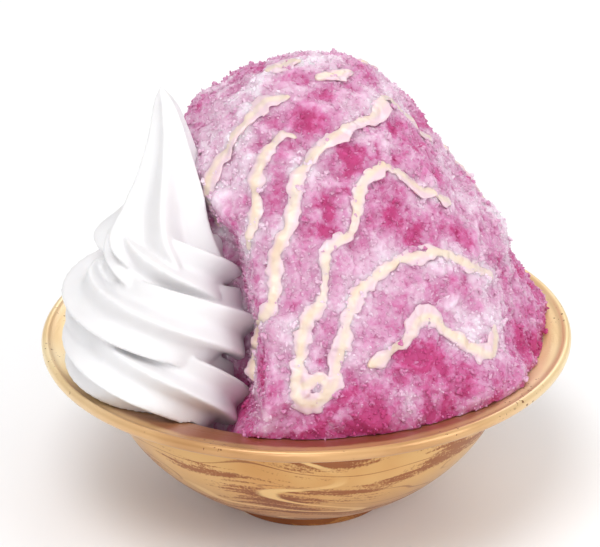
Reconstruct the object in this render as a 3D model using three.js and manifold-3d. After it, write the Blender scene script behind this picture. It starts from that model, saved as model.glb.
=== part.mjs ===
// A bowl of shaved ice: a tall heap of syruped ice with a thick cream drizzle,
// a soft-serve swirl standing at its front left, and the footed bowl that holds both.
//
// Units are millimetres, +Z is up, and the origin is on the bowl's axis, level
// with the underside of its foot. -Y is the front.

import * as THREE from "three";
import { mergeVertices } from "three/addons/utils/BufferGeometryUtils.js";
import Module from "manifold-3d";

const wasm = await Module();
wasm.setup();

// ---------------------------------------------------------------- sizes

const RIM_RADIUS = 85;            // outside of the rolled lip
const BOWL_HEIGHT = 58.5;         // foot to the top of the lip
const LIP = { across: 1.5, high: 1.9 };   // half sizes of the lip's rolled bead
const BRIM = { outer: 80.5, inner: 66, slope: 15 };   // the sloping inner border, slope in degrees
const WALL = 3.6;
const FOOT = { radius: 28, inset: 0.5, high: 4.2, ringWidth: 4.5, recess: 2.5 };
const SHOULDER = { r: 63.8, z: 40.5 };    // where the round body meets the flare under the brim
const BOWL_SIDES = 40;

const GAP = 0.3;                  // air between pieces that touch
const WELD = 0.004;               // corners nearer than this become one

const HEAP = {
  centre: [0.5, 1.5, 60],         // the point that the heap is measured from
  crown: [-1.5, 4],               // where the crown stands, seen from above
  oval: 0.03,                     // wider across than it is deep
  leftTrim: 0.1,                  // flatter on the side where the swirl stands
  detail: 10,                     // rows of triangles on each face of the starting ball
};
// The heap's bare profile: elevation in degrees seen from its centre, and distance.
const HEAP_PROFILE = [
  [-90, 52], [-30, 74], [-2, 75], [3, 73], [12.5, 68.5], [24, 67], [40, 67.5],
  [52.5, 71], [62, 76], [70, 80.5], [76, 83.5], [83.5, 86.2], [90, 87],
];
// Clumps of ice: spacing and height of each size of lump.
const CLUMPS = [
  { size: 23, high: 5.2 },
  { size: 10.5, high: 3.2 },
  { size: 5.5, high: 1.2 },
];

const SWIRL = {
  base: [-46, -35.2, 54.5],       // centre of the coil's foot, level with the brim
  tilt: 14,                       // it leans back on the heap
  lobes: 6,                       // ridges that the star nozzle presses into the rope
  groove: 0.38,                   // depth of the grooves, as a share of the rope's radius
  peakGroove: 0.36,
  pointsPerLobe: 4,
  stepDegrees: 18,                // round the coil, from one section of the rope to the next
};
// The rope, at every quarter of the circle: height of its centre, radius of the coil,
// radius of the rope and the turn of its ridges in degrees. Bearings are counted in
// half circles from the right-hand side, by the front, and the rope climbs that way.
const ROPE_START = -0.5;
const ROPE_STEP = 0.5;
const ROPE = {
  height: [-10, -2.5, 8, 14.5, 16.5, 20.4, 25, 29, 32.5, 36.5, 39.5, 44, 50],
  coil: [15, 16.5, 17.5, 17.5, 18, 19, 18.5, 17, 15.5, 13, 9.5, 5, 2],
  thick: [12, 12.5, 13, 13, 13, 13, 13, 13, 13.2, 13.5, 13, 11, 6],
  turn: [-75, 0, 75, 150, 225, 300, 375, 450, 525, 600, 680, 765, 850],
};
// The pulled peak on the last coil: height, radius over the ridges, lean to the right.
const PEAK = {
  height: [36, 36.5, 38, 41, 44, 48, 52, 57, 62, 68, 75, 82, 88, 92, 95],
  radius: [0, 12, 17, 19.5, 20.2, 19.2, 17, 14.8, 13.3, 10.9, 8.4, 6.2, 4.4, 2.5, 0],
  lean: [0.8, 0.8, 0.8, 0.8, 0.9, 1.7, 2.6, 3.7, 4.6, 5.1, 5.1, 4.8, 4.1, 3.3, 2.6],
};
const PEAK_RINGS = 23;
const PEAK_SKIRT = { drop: 6, from: 66, to: 38 };     // the skirt hangs lower on the right
const PEAK_TWIST = { degrees: 75, top: 75, length: 45, power: 2.6, first: -40 };

// What fills the middle of the coil, along the swirl's own axis.
const SWIRL_CORE = { radius: 17, from: -14, to: 42, sides: 24 };

// The heap stops short in front of the swirl, so that it stands free there: how far the
// niche reaches to the left and to the front, and how it rises and opens that way.
const NICHE = { left: -45, deep: 60, rise: 26, opens: 8 };
// Its right-hand edge: height along the swirl's axis, and distance to the right of it.
const NICHE_EDGE = [
  [-60, 18.5], [-17, 18.5], [-13.5, 23.5], [-10.5, 28.5], [-5, 29.5], [4, 30], [12, 30.5],
  [19, 31.5], [26, 30], [38, 28.5], [44, 28], [50, 23], [57, 19], [64, 16.5], [76, 12.5],
  [86, 8], [100, 4], [120, 4],
];

// The drizzle: half its width, how far it stands up, and how it is divided.
const DRIZZLE = { wide: 1.9, high: 1.3, sides: 4, step: 7 };
// Where it was poured, in zigzags over the heap: degrees to the right of the front
// and elevation, both seen from the heap's centre.
const DRIZZLE_RUNS = [
  [[20, 88], [-43, 87], [-54, 82]],
  [[82, 79], [53, 81], [24, 81]],
  [[-6, 77], [-27, 75], [-35, 69], [-42, 63], [-44, 57], [-42, 50]],
  [[-1, 69], [-10, 69], [-19, 63], [-20, 57], [-18, 51], [-20, 43]],
  [
    [91, 56], [84, 62], [80, 70], [60, 70], [43, 70], [27, 69], [12, 66], [1, 62],
    [-2, 57], [-5, 49], [-7, 40], [-7, 33], [-11, 26], [-12, 15],
  ],
  [
    [65, 44], [58, 49], [50, 55], [41, 59], [30, 58], [25, 55], [21, 50], [18, 47],
    [12, 44], [8, 42], [7, 36], [5, 30], [1, 26], [-1, 21], [-2, 14], [-3, 8], [0, 5],
    [5, 7], [8, 13], [11, 21], [14, 28], [17, 32], [24, 35], [32, 37], [42, 37],
    [50, 34], [57, 28], [66, 22],
  ],
  [[16, 13], [27, 17], [32, 21], [37, 21], [42, 15], [49, 8], [53, 10], [56, 13]],
  [[112, 76], [130, 70], [142, 60], [133, 50], [146, 40], [150, 28], [143, 16], [149, 7]],
  [
    [172, 80], [184, 68], [172, 58], [186, 46], [178, 34], [186, 22], [197, 18],
    [204, 28], [212, 40], [206, 52], [218, 62],
  ],
  [[102, 50], [112, 42], [108, 30], [120, 20], [116, 11]],
  [[-82, 60], [-90, 50], [-97, 40], [-111, 44], [-119, 34], [-113, 22], [-124, 11]],
];

// ---------------------------------------------------------------- helpers

const rad = THREE.MathUtils.degToRad;
const clamp = THREE.MathUtils.clamp;

// A smooth curve through evenly spaced values, read at a place x counted in values.
function along(values, x) {
  const last = values.length - 1;
  const i = clamp(Math.floor(x), 0, last - 1);
  const f = x - i;
  const at = (k) => values[clamp(k, 0, last)];
  const [a, b, c, d] = [at(i - 1), at(i), at(i + 1), at(i + 2)];
  return b + 0.5 * f * (c - a + f * (2 * a - 5 * b + 4 * c - d + f * (3 * (b - c) + d - a)));
}

// A smooth curve through pairs [x, value] of any spacing.
function throughPairs(pairs, x) {
  let i = 0;
  while (i < pairs.length - 2 && x > pairs[i + 1][0]) i += 1;
  const f = clamp((x - pairs[i][0]) / (pairs[i + 1][0] - pairs[i][0]), 0, 1);
  return along(pairs.map((pair) => pair[1]), i + f);
}

// Smooth random values between 0 and 1, the same on every run.
function cornerValue(i, j, k) {
  const s = Math.sin(i * 127.1 + j * 311.7 + k * 74.7) * 43758.5453;
  return s - Math.floor(s);
}

function softNoise(x, y, z) {
  const cell = [Math.floor(x), Math.floor(y), Math.floor(z)];
  const ease = [x, y, z].map((v, n) => (v - cell[n]) ** 2 * (3 - 2 * (v - cell[n])));
  let sum = 0;
  for (let corner = 0; corner < 8; corner += 1) {
    const step = [corner & 1, (corner >> 1) & 1, corner >> 2];
    const share = step.reduce((p, s, n) => p * (s ? ease[n] : 1 - ease[n]), 1);
    sum += share * cornerValue(cell[0] + step[0], cell[1] + step[1], cell[2] + step[2]);
  }
  return sum;
}

// Between a closed geometry and a solid that can be joined or cut.
function toSolid(geometry) {
  const bare = geometry.clone();
  bare.deleteAttribute("normal");
  bare.deleteAttribute("uv");
  const merged = mergeVertices(bare, 1e-4);
  return new wasm.Manifold(new wasm.Mesh({
    numProp: 3,
    vertProperties: new Float32Array(merged.attributes.position.array),
    triVerts: new Uint32Array(merged.index.array),
  }));
}

// The largest single body, filled: loose scraps and sealed hollows are left out.
function wholeBody(solid) {
  const bodies = solid.decompose();
  return bodies.reduce((best, body) => (body.volume() > best.volume() ? body : best));
}

// A cut leaves corners that almost touch. They are drawn together on a fine grid, and
// the triangles that lose an edge by it go.
function toGeometry(solid) {
  const mesh = solid.getMesh();
  const snapped = Float32Array.from(mesh.vertProperties, (v) => Math.round(v / WELD) * WELD);
  const geometry = new THREE.BufferGeometry();
  geometry.setAttribute("position", new THREE.BufferAttribute(snapped, 3));
  geometry.setIndex(new THREE.BufferAttribute(new Uint32Array(mesh.triVerts), 1));
  const welded = mergeVertices(geometry, WELD / 4);
  const corners = welded.index.array;
  const kept = [];
  for (let i = 0; i < corners.length; i += 3) {
    const [a, b, c] = corners.slice(i, i + 3);
    if (a !== b && b !== c && c !== a) kept.push(a, b, c);
  }
  welded.setIndex(kept);
  welded.computeVertexNormals();
  return welded;
}

// A closed skin over rows of points. Each row is a ring; each end is closed by a point.
function skin(rows, startPoint, endPoint) {
  const around = rows[0].length;
  const points = rows.flat().concat([startPoint, endPoint]);
  const start = points.length - 2;
  const end = points.length - 1;
  const faces = [];
  for (let j = 0; j < around; j += 1) {
    const next = (j + 1) % around;
    for (let i = 0; i + 1 < rows.length; i += 1) {
      const here = i * around;
      const there = here + around;
      faces.push(here + j, there + j, there + next);
      faces.push(here + j, there + next, here + next);
    }
    faces.push(start, j, next);
    faces.push(end, (rows.length - 1) * around + next, (rows.length - 1) * around + j);
  }
  const geometry = new THREE.BufferGeometry();
  geometry.setAttribute("position", new THREE.Float32BufferAttribute(points.flatMap((p) => p.toArray()), 3));
  geometry.setIndex(faces);
  return geometry;
}

// A solid of revolution from [radius, height] points that run upwards on the outside.
function turned(profile, sides) {
  const lathe = new THREE.LatheGeometry(profile.map(([r, z]) => new THREE.Vector2(r, z)), sides);
  return lathe.rotateX(Math.PI / 2);
}

function arc(centre, half, fromDegrees, toDegrees, steps) {
  return Array.from({ length: steps + 1 }, (_, i) => {
    const angle = rad(fromDegrees + (toDegrees - fromDegrees) * i / steps);
    return [centre[0] + half[0] * Math.cos(angle), centre[1] + half[1] * Math.sin(angle)];
  });
}

// ---------------------------------------------------------------- bowl

const LIP_CENTRE = [RIM_RADIUS - LIP.across, BOWL_HEIGHT - LIP.high];

function brimHeight(r) {
  return BOWL_HEIGHT - 1 - (BRIM.outer - r) * Math.tan(rad(BRIM.slope));
}

// The round body below the shoulder, as one curve that leaves the shoulder almost
// straight down and reaches the foot almost level. The inside runs parallel to it.
function bodyCurve(inwards, steps) {
  const [r, z] = [SHOULDER.r - inwards, SHOULDER.z];
  const end = [FOOT.radius + 0.6 - inwards * 0.4, FOOT.high + inwards * 0.95];
  const down = rad(82);
  const out = rad(18);
  const curve = new THREE.CubicBezierCurve(
    new THREE.Vector2(r, z),
    new THREE.Vector2(r - 14.9 * Math.cos(down), z - 14.9 * Math.sin(down)),
    new THREE.Vector2(end[0] + 15 * Math.cos(out), end[1] + 15 * Math.sin(out)),
    new THREE.Vector2(end[0], end[1]),
  );
  return curve.getPoints(steps).map((p) => [p.x, p.y]);
}

function outsideProfile() {
  const footEdge = FOOT.radius - FOOT.inset;
  return [
    [0, FOOT.recess],
    [footEdge - FOOT.ringWidth - 1.5, FOOT.recess],
    [footEdge - FOOT.ringWidth, 0],
    [footEdge, 0],
    [FOOT.radius, 1.8],
    ...bodyCurve(0, 7).reverse(),
    [65.5, 47],
    [69, 51.5],
    [76, 53.9],
    ...arc(LIP_CENTRE, [LIP.across, LIP.high], -110, 150, 6),
  ];
}

// The inside, from the lip down to the middle of the well.
function insideProfile(lift) {
  const well = bodyCurve(WALL, 4).map(([r, z]) => [r - lift, z + lift * 0.6]);
  return [
    [BRIM.outer, brimHeight(BRIM.outer) + lift],
    [BRIM.inner, brimHeight(BRIM.inner) + lift],
    [63 - lift, 51 + lift * 0.5],
    ...well,
    [0, well.at(-1)[1] - 0.6],
  ];
}

function makeBowl() {
  return toSolid(turned([...outsideProfile(), ...insideProfile(0)], BOWL_SIDES));
}

// All the room that food may take: over the brim and in the well, with the gap left out.
function makeRoom() {
  const high = 175;
  const wide = BRIM.outer + 3;
  const inside = insideProfile(GAP).reverse();
  const profile = [...inside, [wide, brimHeight(wide) + GAP + 0.8], [wide, high], [0, high]];
  return toSolid(turned(profile, BOWL_SIDES / 2));
}

// ---------------------------------------------------------------- soft-serve swirl

const BACK = new THREE.Vector3(0, Math.cos(rad(SWIRL.tilt)), -Math.sin(rad(SWIRL.tilt)));
const RISE = new THREE.Vector3(0, Math.sin(rad(SWIRL.tilt)), Math.cos(rad(SWIRL.tilt)));
const RIGHT = new THREE.Vector3(1, 0, 0);

// A point of the swirl: bearing in half circles from the right by the front, distance
// from the swirl's own axis, height along it and lean to the right.
function swirlPoint(bearing, reach, height, lean = 0) {
  return new THREE.Vector3(...SWIRL.base)
    .addScaledVector(RISE, height)
    .addScaledVector(RIGHT, reach * Math.cos(bearing * Math.PI) + lean)
    .addScaledVector(BACK, -reach * Math.sin(bearing * Math.PI));
}

// The star nozzle's section: round ridges with sharp grooves between them.
function ridges(degrees, depth) {
  return 1 - depth * (1 - Math.abs(Math.sin(rad(SWIRL.lobes * degrees / 2))));
}

// At most about half a circle of the rope, so that it doesn't meet itself.
function ropeLength(from, to, extra) {
  const around = SWIRL.lobes * SWIRL.pointsPerLobe;
  const steps = Math.max(2, Math.round((to - from) * 180 / SWIRL.stepDegrees));
  const rows = [];
  const middles = [];
  for (let i = 0; i <= steps; i += 1) {
    const bearing = from + (to - from) * i / steps;
    const x = (bearing - ROPE_START) / ROPE_STEP;
    const [height, coil, thick, turn] = ["height", "coil", "thick", "turn"].map((key) => along(ROPE[key], x));
    middles.push(swirlPoint(bearing, coil, height));
    rows.push(Array.from({ length: around }, (_, j) => {
      const onRope = j * 360 / around;
      const r = thick * ridges(onRope, SWIRL.groove) + extra;
      const angle = rad(turn + onRope + 30);
      const reach = Math.max(0.6, coil + r * Math.cos(angle));
      return swirlPoint(bearing, reach, height + r * Math.sin(angle));
    }).reverse());
  }
  return toSolid(skin(rows, middles[0], middles.at(-1)));
}

function makePeak(extra) {
  const around = SWIRL.lobes * SWIRL.pointsPerLobe;
  const rows = [];
  const last = PEAK.height.length - 1;
  for (let i = 1; i < PEAK_RINGS; i += 1) {
    const x = last * i / PEAK_RINGS;
    const height = along(PEAK.height, x);
    const radius = Math.max(0.3, along(PEAK.radius, x));
    const lean = along(PEAK.lean, x);
    const low = clamp((PEAK_SKIRT.from - height) / (PEAK_SKIRT.from - PEAK_SKIRT.to), 0, 1);
    const skirt = PEAK_SKIRT.drop * low * low * (3 - 2 * low);
    const below = clamp((PEAK_TWIST.top - height) / PEAK_TWIST.length, 0, 2);
    const twist = PEAK_TWIST.first + PEAK_TWIST.degrees * below ** PEAK_TWIST.power;
    rows.push(Array.from({ length: around }, (_, j) => {
      const onPeak = j * 360 / around;
      const fromFront = onPeak + twist;              // degrees to the right of the front
      const bearing = (90 - fromFront) / 180;
      const reach = radius * ridges(onPeak, SWIRL.peakGroove) + extra;
      return swirlPoint(bearing, reach, height - skirt * Math.cos(bearing * Math.PI), lean);
    }).reverse());
  }
  const foot = swirlPoint(0, 0, PEAK.height[0] - extra);
  const tip = swirlPoint(0, 0, PEAK.height[last] + extra, PEAK.lean[last]);
  return toSolid(skin(rows, foot, tip));
}

// Without it a hollow would be left between the turns of the rope.
function makeCore(extra) {
  const { radius, from, to, sides } = SWIRL_CORE;
  const ring = (height) => Array.from({ length: sides }, (_, j) => (
    swirlPoint(j * 2 / sides, radius + extra, height)
  ));
  const ends = [from - extra, to + extra];
  return toSolid(skin(ends.map(ring), swirlPoint(0, 0, ends[0]), swirlPoint(0, 0, ends[1])));
}

function makeSwirl(extra) {
  const end = ROPE_START + ROPE_STEP * (ROPE.height.length - 1);
  let swirl = makePeak(extra).add(makeCore(extra));
  for (let from = ROPE_START; from < end - 0.01; from += 1) {
    swirl = swirl.add(ropeLength(from, Math.min(from + 1.02, end), extra));
  }
  return swirl;
}

// ---------------------------------------------------------------- heap of ice

// The heap's surface in one direction from its centre.
function heapPoint(way) {
  const elevation = THREE.MathUtils.radToDeg(Math.asin(clamp(way.z, -1, 1)));
  const level = Math.max(1e-6, Math.hypot(way.x, way.y));
  const [east, north] = [way.x / level, way.y / level];
  const left = Math.max(0, -east) ** 1.5 * level ** 2;
  const oval = 1 + HEAP.oval * (east ** 2 - north ** 2) * level ** 2;
  const bare = throughPairs(HEAP_PROFILE, elevation) * oval * (1 - HEAP.leftTrim * left);
  let reach = bare;
  for (const { size, high } of CLUMPS) {
    const spot = way.clone().multiplyScalar(bare / size);
    reach += high * (softNoise(spot.x + 7, spot.y + 3, spot.z) - 0.5);
  }
  const up = Math.max(0, way.z);
  return new THREE.Vector3(
    HEAP.centre[0] + way.x * reach + (HEAP.crown[0] - HEAP.centre[0]) * up,
    HEAP.centre[1] + way.y * reach + (HEAP.crown[1] - HEAP.centre[1]) * up,
    HEAP.centre[2] + way.z * reach,
  );
}

function makeHeap() {
  const ball = new THREE.IcosahedronGeometry(1, HEAP.detail);
  const place = ball.attributes.position;
  for (let i = 0; i < place.count; i += 1) {
    const point = heapPoint(new THREE.Vector3().fromBufferAttribute(place, i).normalize());
    place.setXYZ(i, ...point);
  }
  return toSolid(ball);
}

// What is taken out of the heap in front of the swirl.
function makeNiche() {
  const forward = new THREE.Vector3(0, -Math.cos(rad(NICHE.rise)), Math.sin(rad(NICHE.rise)));
  const wider = NICHE.deep * Math.tan(rad(NICHE.opens));
  const rows = NICHE_EDGE.map(([height, right]) => {
    const corner = (x, out) => new THREE.Vector3(...SWIRL.base)
      .addScaledVector(RISE, height)
      .addScaledVector(RIGHT, x)
      .addScaledVector(forward, out);
    return [
      corner(NICHE.left, 0), corner(right, 0),
      corner(right + wider, NICHE.deep), corner(NICHE.left, NICHE.deep),
    ];
  });
  const middle = (row) => row.reduce((sum, point) => sum.add(point), new THREE.Vector3()).divideScalar(row.length);
  return toSolid(skin(rows, middle(rows[0]), middle(rows.at(-1))));
}

// One run of the drizzle: a flat cord that lies half sunk along the heap's surface.
function makeRun(run) {
  const ways = run.map(([right, elevation]) => new THREE.Vector3(
    Math.cos(rad(elevation)) * Math.sin(rad(right)),
    -Math.cos(rad(elevation)) * Math.cos(rad(right)),
    Math.sin(rad(elevation)),
  ));
  const route = new THREE.CatmullRomCurve3(ways, false, "catmullrom", 0.5);
  const size = HEAP.centre[2] + 10;                       // about the heap's mean radius
  const steps = Math.ceil(route.getLength() * size / DRIZZLE.step);
  const middles = route.getSpacedPoints(steps).map((way) => heapPoint(way.normalize()));
  const centre = new THREE.Vector3(...HEAP.centre);
  const rows = middles.map((middle, i) => {
    const ahead = middles[Math.min(i + 1, steps)].clone().sub(middles[Math.max(i - 1, 0)]).normalize();
    const out = middle.clone().sub(centre).normalize();
    const side = new THREE.Vector3().crossVectors(ahead, out).normalize();
    return Array.from({ length: DRIZZLE.sides }, (_, j) => {
      const angle = rad(90 + j * 360 / DRIZZLE.sides);
      return middle.clone()
        .addScaledVector(side, DRIZZLE.wide * Math.cos(angle))
        .addScaledVector(out, DRIZZLE.high * Math.sin(angle));
    });
  });
  return toSolid(skin(rows, middles[0], middles.at(-1)));
}

// ---------------------------------------------------------------- the whole

const bowl = makeBowl();
const room = makeRoom();
const swirl = wholeBody(makeSwirl(0).intersect(room));
const iced = DRIZZLE_RUNS.reduce((whole, run) => whole.add(makeRun(run)), makeHeap());
const taken = wholeBody(makeSwirl(GAP)).add(makeNiche());
const heap = wholeBody(iced.intersect(room).subtract(taken));

function piece(name, solid, color, roughness, metalness) {
  const material = new THREE.MeshStandardMaterial({ color, roughness, metalness });
  const mesh = new THREE.Mesh(toGeometry(solid), material);
  mesh.name = name;
  return mesh;
}

const dessert = new THREE.Group();
dessert.add(piece("bowl", bowl, 0xb88a4a, 0.4, 0.5));
dessert.add(piece("shaved_ice", heap, 0xd78ac0, 0.7, 0));
dessert.add(piece("soft_serve", swirl, 0xf3f1ee, 0.35, 0));

export default dessert;
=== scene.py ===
# A bowl of shaved ice with a thick cream drizzle and a soft-serve swirl.
#
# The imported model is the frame: +Z is up, -Y is the front, and the origin lies on the
# bowl's axis under its foot. Sizes below are in millimetres, as a maker gives them,
# and each mesh is brought to metres when it is made.

import math

import bmesh
import bpy
import numpy as np
from mathutils import Matrix, Vector
from mathutils.bvhtree import BVHTree
from mathutils.kdtree import KDTree


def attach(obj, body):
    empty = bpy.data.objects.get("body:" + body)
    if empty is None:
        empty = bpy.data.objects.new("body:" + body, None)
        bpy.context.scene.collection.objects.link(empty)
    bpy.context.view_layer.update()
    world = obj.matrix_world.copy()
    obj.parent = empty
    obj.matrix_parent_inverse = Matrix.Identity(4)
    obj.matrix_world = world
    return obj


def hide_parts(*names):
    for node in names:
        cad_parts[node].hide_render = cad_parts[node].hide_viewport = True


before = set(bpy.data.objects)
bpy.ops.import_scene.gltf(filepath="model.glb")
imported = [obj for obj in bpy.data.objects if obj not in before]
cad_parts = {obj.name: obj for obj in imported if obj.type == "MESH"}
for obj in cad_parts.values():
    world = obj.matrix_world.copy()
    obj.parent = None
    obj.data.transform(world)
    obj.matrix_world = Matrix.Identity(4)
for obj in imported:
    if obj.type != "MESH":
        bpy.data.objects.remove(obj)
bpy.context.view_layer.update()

MM = 0.001

# ---------------------------------------------------------------- sizes

RIM_RADIUS = 85.0                 # outside of the rolled lip
BOWL_HEIGHT = 58.5                # foot to the top of the lip
LIP = {"across": 1.5, "high": 1.9}
BRIM = {"outer": 80.5, "inner": 66.0, "slope": 15.0}
WALL = 3.6
FOOT = {"radius": 28.0, "inset": 0.5, "high": 4.2, "ring_width": 4.5, "recess": 2.5}
SHOULDER = {"r": 63.8, "z": 40.5}
# The slopes at which the round body leaves the shoulder and the foot, and how far it
# holds each of them.
BODY = {"steep": 82.0, "steep_reach": 14.9, "flat": 18.0, "flat_reach": 15.0}
# Corners (radius, height) of the outside from the shoulder to the lip, and the corner
# inside where the well ends and the brim begins.
FLARE = ((64.0, 43.5), (65.5, 47.0), (69.0, 51.5), (76.0, 53.9), (82.6, 55.2))
WELL_CORNER = (63.0, 51.0)
BOWL_SIDES = 256
GAP = 0.3                         # air between the bowl and the food
ROUNDING = {"foot": 0.7, "flare": 2.6, "inside": 1.6}
SWEEP_RADIUS = 80.0               # of the drum that the glaze's strokes are laid out on
# Marks on the bowl, measured along its section from the widest place of the lip: where the inside's
# finish begins, and the dark lines under and inside the lip, painted shade in its grooves that also
# stands for the glaze breaking there.
INSIDE_BEGINS = (-2.6, -1.8)
LIP_LINES = ({"at": 4.8, "wide": 0.7, "dark": 0.3}, {"at": -3.0, "wide": 0.8, "dark": 1.0})

# The heap is measured from its centre: elevation in degrees, and distance.
HEAP_CENTRE = np.array((0.5, 1.5, 60.0))
HEAP_CROWN = np.array((-1.5, 4.0))
HEAP = {"oval": 0.03, "left_trim": 0.1}
HEAP_PROFILE = (
    (-90, 52), (-30, 74), (-2, 75), (3, 73), (12.5, 68.5), (24, 67), (40, 67.5),
    (52.5, 71), (62, 76), (70, 80.5), (76, 83.5), (83.5, 86.2), (90, 87),
)
CLUMPS = ((23, 5.2), (10.5, 3.2), (5.5, 1.2))         # spacing and height of the lumps
TUFTS = (7.0, 1.8)                                    # the same for soft tufts on them
CRUMBS = ((3.4, 0.8), (1.8, 0.35))                    # and for crumbs on the tufts
ICE_MESH = {
    "fineness": 8,                # of the ball that the heap is shaped from
    "ball_ends": -0.095,          # how far down it is used, for a radius of 1
    "rows_below": (-7.2, -8.2, -10.5, -13.5, -17.5, -25, -36, -52),
    "foot": 6.5,                  # degrees below level where the ice lies on the bowl
    "shows_from": 50.0,           # height
    "longest_edge": 1.45,         # on the niche's wall
    "niche_rounding": 8,          # rounds of evening out
    "core": 25.0,                 # that the niche never reaches, round the centre
}

# The swirl's rope and peak stand on a base, in front of the heap, and lean back.
SWIRL = {
    "base": (-46.0, -35.2, 54.5),
    "tilt": 14.0,
    "lobes": 6,
    "section_turn": 30.0,
    "groove": 0.38,
    "peak_groove": 0.36,
    "crest_round": 0.01,
    "fullness": 1.06,
    "core_radius": 17.0,
    "core_from": -14.0,
    "core_to": 42.0,
}
# The rope's middle, its thickness and the turn of its section, at every ROPE_STEP half
# circles from ROPE_START on. It is made in parts, a little over half a circle each.
ROPE_START = -0.5
ROPE_STEP = 0.5
ROPE_PART = 1.02
ROPE = {
    "height": (-10, -2.5, 8, 14.5, 16.5, 20.4, 25, 29, 32.5, 36.5, 39.5, 44, 50),
    "coil": (15, 16.5, 17.5, 17.5, 18, 19, 18.5, 17, 15.5, 13, 9.5, 5, 2),
    "thick": (12, 12.5, 13, 13, 13, 13, 13, 13, 13.2, 13.5, 13, 11, 6),
    "turn": (-75, 0, 75, 150, 225, 300, 375, 450, 525, 600, 680, 765, 850),
}
# The peak's outline, and how far its middle leans to the right at each height.
PEAK = {
    "height": (36, 36.5, 38, 41, 44, 48, 52, 57, 62, 68, 75, 82, 88, 92, 95),
    "radius": (0, 12, 17, 19.5, 20.2, 19.2, 17, 14.8, 13.3, 10.9, 8.4, 6.2, 4.4, 2.5, 0),
    "lean": (0.8, 0.8, 0.8, 0.8, 0.9, 1.7, 2.6, 3.7, 4.6, 5.1, 5.1, 4.8, 4.1, 3.3, 2.6),
}
PEAK_SKIRT = {"drop": 6.0, "from": 66.0, "to": 38.0}
PEAK_TWIST = {"degrees": 75.0, "top": 75.0, "length": 45.0, "power": 2.6, "first": -40.0}

# The heap stops short in front of the swirl, so that the swirl stands free there. The
# niche reaches to the left and to the front, rising and opening that way; "ease" moves
# its edge, to make up for the rounding of it.
NICHE = {"left": -45.0, "rise": 26.0, "opens": 8.0, "ease": -1.5}
# Its right-hand edge: height along the swirl's axis, and distance to the right of it.
NICHE_EDGE = (
    (-60, 18.5), (-17, 18.5), (-13.5, 23.5), (-10.5, 28.5), (-5, 29.5), (4, 30), (12, 30.5),
    (19, 31.5), (26, 30), (38, 28.5), (44, 28), (50, 23), (57, 19), (64, 16.5), (76, 12.5),
    (86, 8), (100, 4), (120, 4),
)

DRIZZLE = {
    "wide": 2.35,                 # half of the usual width
    "high": 0.62,                 # half of the height
    "sides": 16,
    "step": 0.7,                  # from section to section
    "lift": 0.05,                 # of its middle, over the ice
    "from_swirl": 0.5,            # where a run stops, short of the swirl's skin
    "swells_every": 7.0,
    "taper": 2.2,                 # length of each end
}
# Where it was poured: degrees to the right of the front and elevation, both seen from
# the heap's centre.
DRIZZLE_RUNS = (
    ((20, 88), (-43, 87), (-54, 82)),
    ((82, 79), (53, 81), (24, 81)),
    ((-6, 77), (-27, 75), (-35, 69), (-42, 63), (-44, 57), (-42, 50)),
    ((-1, 69), (-10, 69), (-19, 63), (-20, 57), (-18, 51), (-20, 43)),
    (
        (91, 56), (84, 62), (80, 70), (60, 70), (43, 70), (27, 69), (12, 66), (1, 62),
        (-2, 57), (-5, 49), (-9, 41), (-9, 34), (-11, 27), (-17, 22), (-18, 17), (-19, 10),
        (-18, 4),
    ),
    (
        (65, 44), (58, 49), (50, 55), (41, 59), (30, 58), (25, 55), (21, 50), (18, 47),
        (12, 44), (8, 42), (7, 36), (5, 30), (1, 26), (-1, 21), (-2, 14), (-3, 8), (0, 5),
        (5, 7), (8, 13), (11, 21), (14, 28), (17, 32), (24, 35), (32, 37), (42, 37),
        (50, 34), (57, 28), (66, 22),
    ),
    ((-4, 10), (-2, 6), (2, 5), (5, 9), (3, 11), (-1, 9)),
    ((16, 13), (27, 17), (32, 21), (37, 21), (42, 15), (49, 8), (53, 10), (56, 13)),
    ((112, 76), (130, 70), (142, 60), (133, 50), (146, 40), (150, 28), (143, 16), (149, 7)),
    (
        (172, 80), (184, 68), (172, 58), (186, 46), (178, 34), (186, 22), (197, 18),
        (204, 28), (212, 40), (206, 52), (218, 62),
    ),
    ((102, 50), (112, 42), (108, 30), (120, 20), (116, 11)),
    ((-82, 60), (-90, 50), (-97, 40), (-111, 44), (-119, 34), (-113, 22), (-124, 11)),
)

# Places are given from here on as degrees to the right of the front, elevation, and
# reach in millimetres. First, where the cream spread out.
CREAM_POOLS = (
    (0, 8, 4.0), (2, 27, 3.5), (-28, 74, 4.0), (37, 58, 3.5), (35, 23, 3.0), (49, 10, 3.5),
    (43, 35, 3.5), (-18, 6, 3.5), (-45, 86, 6.0), (53, 81, 6.0), (-6, 35, 3.0),
    (23, 69, 4.0), (60, 70, 4.0),
)

# How much syrup the ice holds, from 0 to 1: the usual amount, what uneven soaking adds
# or takes (spacing and amount), what each kind of place adds or takes, and how strongly
# the whole departs from its middle.
SOAKING = {
    "usual": 0.59,
    "clouds": (15.0, 0.36),
    "patches": (6.5, 0.58),
    "mottle": 3.6,
    "deep_pool": 0.30,
    "pool": 0.20,
    "pale_spot": -0.20,
    "foot": 0.22,
    "foot_high": 7.0,
    "left": -0.22,
    "left_wide": 80.0,
    # Paler ice on the niche's wall: painted light, against the shade that falls there.
    "niche": -0.10,
    "beside_cream": -0.26,
    "middle": 0.56,
    "contrast": 0.86,
}
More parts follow.
